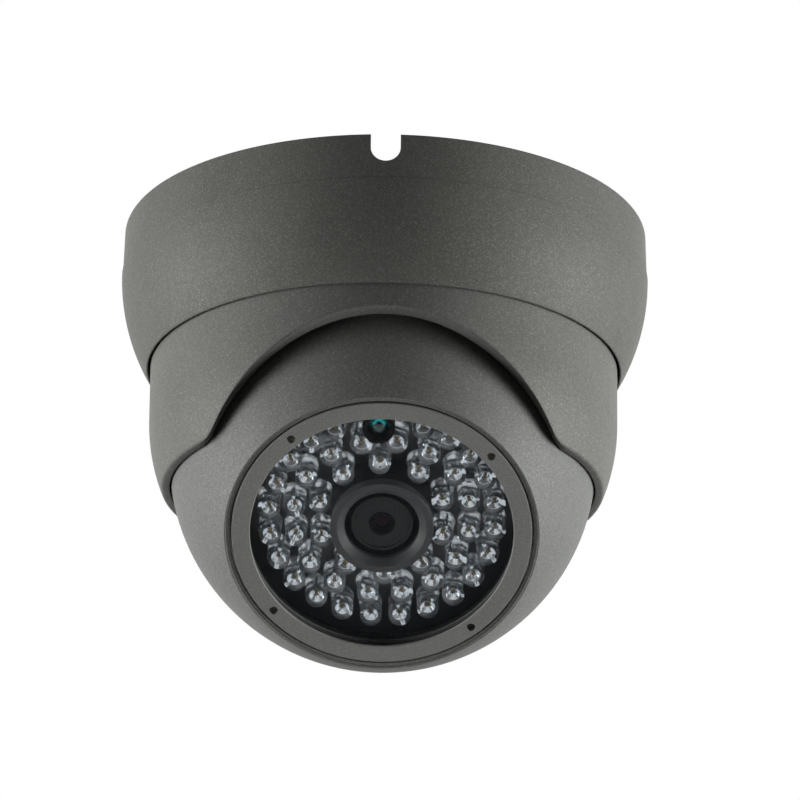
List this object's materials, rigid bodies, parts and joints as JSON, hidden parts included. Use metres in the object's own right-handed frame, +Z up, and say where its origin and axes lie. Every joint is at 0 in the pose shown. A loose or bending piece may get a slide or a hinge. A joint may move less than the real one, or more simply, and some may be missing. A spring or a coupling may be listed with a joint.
{
  "type": "eyeball dome security camera",
  "caption": "Ceiling-mounted dome security camera: a cast base, a panning collar and a tilting ball with rings of infrared lamps round a fixed lens.",
  "frame": {"origin": "on the pan axis, at the middle of the mounting plate's top face, in the plane of the ceiling", "axes": "+Z points up into the ceiling, the camera faces -Y at rest, and +X is to the right seen from its front"},
  "size_m": [0.12, 0.12, 0.1018],
  "materials": {
    "grey_paint": "matte",
    "plated_steel": "satin",
    "blackened_steel": "satin",
    "white_nylon": "matte",
    "black_plastic": "satin",
    "black_rubber": "matte",
    "window_glass": "polished",
    "clear_epoxy": "gloss",
    "black_circuit_board": "satin",
    "green_circuit_board": "satin",
    "brass": "satin",
    "sensor_lens": "polished",
    "coated_lens_glass": "polished"
  },
  "bodies": {
    "base": {"mounting_plate": "plated_steel", "base_housing": "grey_paint", "base_lock_screw": "blackened_steel", "pan_friction_ring": "white_nylon", "pan_snap_ring": "plated_steel"},
    "collar": {"pan_collar": "grey_paint", "pivot_bush_left": "white_nylon", "pivot_bush_right": "white_nylon"},
    "ball": {"ball_front_shell": "grey_paint", "ball_rear_shell": "grey_paint", "shell_seal": "black_rubber", "shell_screw_1": "blackened_steel", "shell_screw_2": "blackened_steel", "shell_screw_3": "blackened_steel", "tilt_pivot_left": "plated_steel", "tilt_pivot_right": "plated_steel", "front_bezel": "grey_paint", "window_glass": "window_glass", "window_gasket": "black_rubber", "ir_leds_inner": "clear_epoxy", "ir_leds_middle": "clear_epoxy", "ir_leds_outer": "clear_epoxy", "led_board": "black_circuit_board", "led_board_screw_1": "blackened_steel", "led_board_screw_2": "blackened_steel", "led_board_screw_3": "blackened_steel", "photocell_shroud": "black_plastic", "photocell": "sensor_lens", "lens_sleeve": "black_plastic", "lens_holder": "black_plastic", "ir_cut_coil": "brass", "image_sensor": "sensor_lens", "sensor_board": "green_circuit_board", "main_board": "green_circuit_board", "front_standoff_1": "brass", "front_standoff_2": "brass", "front_standoff_3": "brass", "front_standoff_4": "brass", "rear_standoff_1": "brass", "rear_standoff_2": "brass", "rear_standoff_3": "brass", "rear_standoff_4": "brass", "board_screw_1": "blackened_steel", "board_screw_2": "blackened_steel", "board_screw_3": "blackened_steel", "board_screw_4": "blackened_steel", "cable_socket": "white_nylon", "power_capacitor": "plated_steel", "cable_gland": "black_rubber", "gland_nut": "brass"},
    "lens": {"lens_barrel": "black_plastic", "lens_retaining_ring": "blackened_steel", "lens_front_element": "coated_lens_glass", "lens_rear_element": "coated_lens_glass"},
    "ir_filter": {"ir_cut_filter": "window_glass"}
  },
  "joints": [
    {"name": "pan", "type": "hinge", "parent": "base", "child": "collar", "pos_m": [0, 0, 0], "axis": [0, 0, 1], "range_deg": [-177.5, 177.5]},
    {"name": "tilt", "type": "hinge", "parent": "collar", "child": "ball", "pos_m": [0, 0, -0.0541], "axis": [1, 0, 0], "range_deg": [-31.5, 38.5]},
    {"name": "lens_focus", "type": "hinge", "parent": "ball", "child": "lens", "pos_m": [0, 0, -0.0541], "axis": [0, -0.6225, -0.7826], "range_deg": [-180, 180]},
    {"name": "filter_shift", "type": "slide", "parent": "ball", "child": "ir_filter", "axis": [1, 0, 0], "range_m": [0, 0.0065]}
  ]
}
